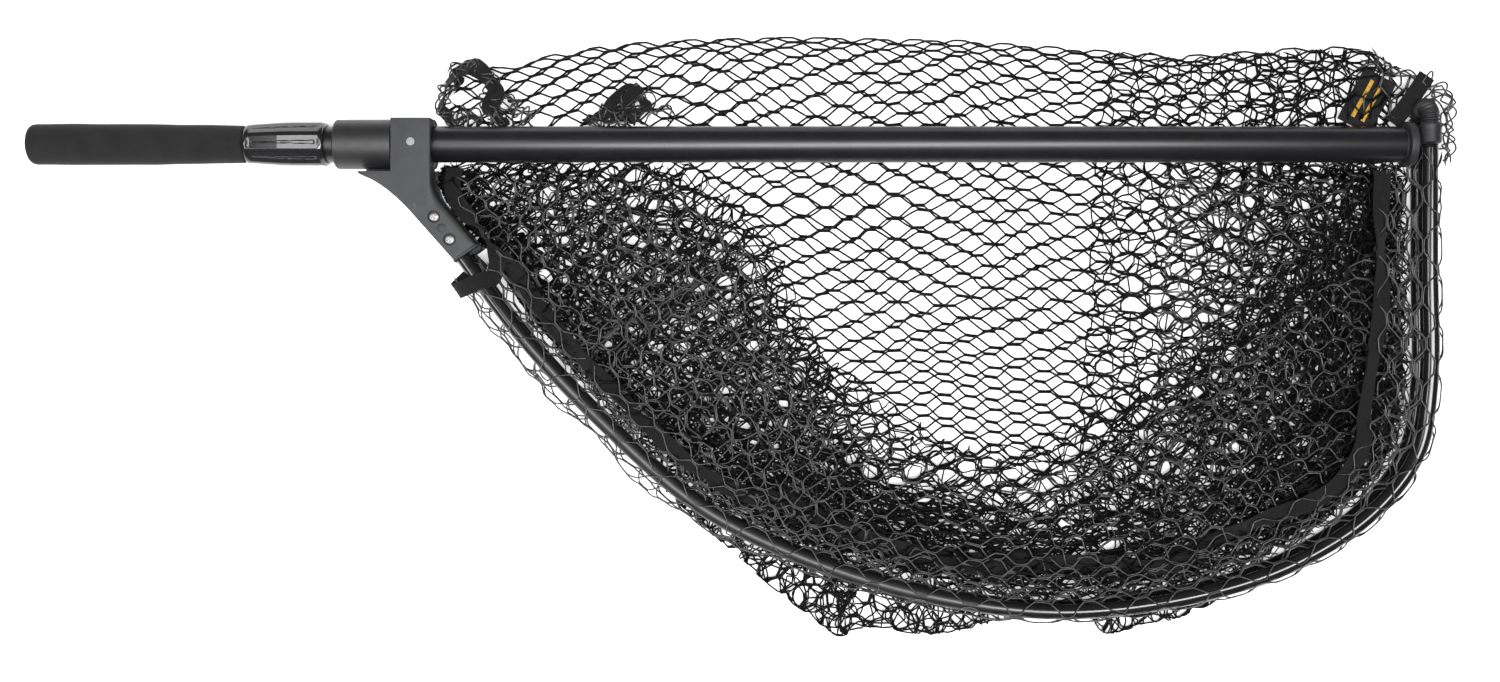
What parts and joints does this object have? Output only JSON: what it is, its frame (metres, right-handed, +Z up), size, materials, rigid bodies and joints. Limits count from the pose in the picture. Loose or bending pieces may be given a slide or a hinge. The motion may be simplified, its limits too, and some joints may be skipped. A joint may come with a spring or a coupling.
{
  "type": "landing net",
  "caption": "Folding landing net, stored flat: a telescopic handle slides through a yoke that joins two hoop halves like a book, with a black mesh bag.",
  "frame": {"origin": "On the floor, below the handle axis, under the middle of the flat foot of the back yoke's sleeve", "axes": "+X from the grip to the hoop tip, along the handle; +Z up, away from the floor the folded net lies on"},
  "size_m": [1.1687, 0.4834, 0.0433],
  "materials": {
    "tube": "satin",
    "rod": "gloss",
    "yoke": "satin",
    "nylon": "satin",
    "gloss_nylon": "gloss",
    "steel": "satin",
    "button": "satin",
    "rubber": "matte",
    "foam": "matte",
    "netting": "satin",
    "webbing": "matte",
    "patch": "matte"
  },
  "bodies": {
    "back_frame": {"back_yoke": "yoke", "hub_liner": "nylon", "hub_circlip": "steel", "back_rod": "rod", "back_screw_1": "steel", "back_screw_2": "steel", "back_plug": "nylon", "tip_elbow": "rubber", "net_bag": "netting", "back_rim_tape": "webbing", "label_patch": "patch", "tie_knot_1": "webbing", "tie_knot_2": "webbing"},
    "front_frame": {"front_yoke": "yoke", "front_rod": "rod", "front_screw_1": "steel", "front_screw_2": "steel", "front_plug": "nylon", "button_spring": "steel", "front_rim_tape": "webbing", "strap_loop": "webbing"},
    "lock_button": {"lock_button": "button"},
    "handle": {"main_tube": "tube", "tube_end_cap": "nylon", "end_washer": "steel", "collet": "nylon"},
    "twist_lock": {"twist_lock_nut": "gloss_nylon"},
    "grip": {"inner_tube": "tube", "inner_guide": "nylon", "foam_grip": "foam", "butt_cap": "rubber"}
  },
  "joints": [
    {"name": "hoop_fold", "type": "hinge", "parent": "back_frame", "child": "front_frame", "pos_m": [0.03, 0, 0.0215], "axis": [-1, 0, 0], "range_deg": [0, 180], "deforming": ["tip_elbow"]},
    {"name": "button_press", "type": "slide", "parent": "front_frame", "child": "lock_button", "axis": [0, 0, -1], "range_m": [0, 0.002], "stiffness_N_per_m": 600, "springref_m": -0.002, "deforming": ["button_spring"]},
    {"name": "handle_slide", "type": "slide", "parent": "back_frame", "child": "handle", "axis": [-1, 0, 0], "range_m": [0, 0.78]},
    {"name": "twist_lock_turn", "type": "hinge", "parent": "handle", "child": "twist_lock", "pos_m": [-0.077, 0, 0.0215], "axis": [1, 0, 0], "range_deg": [0, 120]},
    {"name": "grip_slide", "type": "slide", "parent": "handle", "child": "grip", "axis": [-1, 0, 0], "range_m": [0, 0.6]}
  ]
}
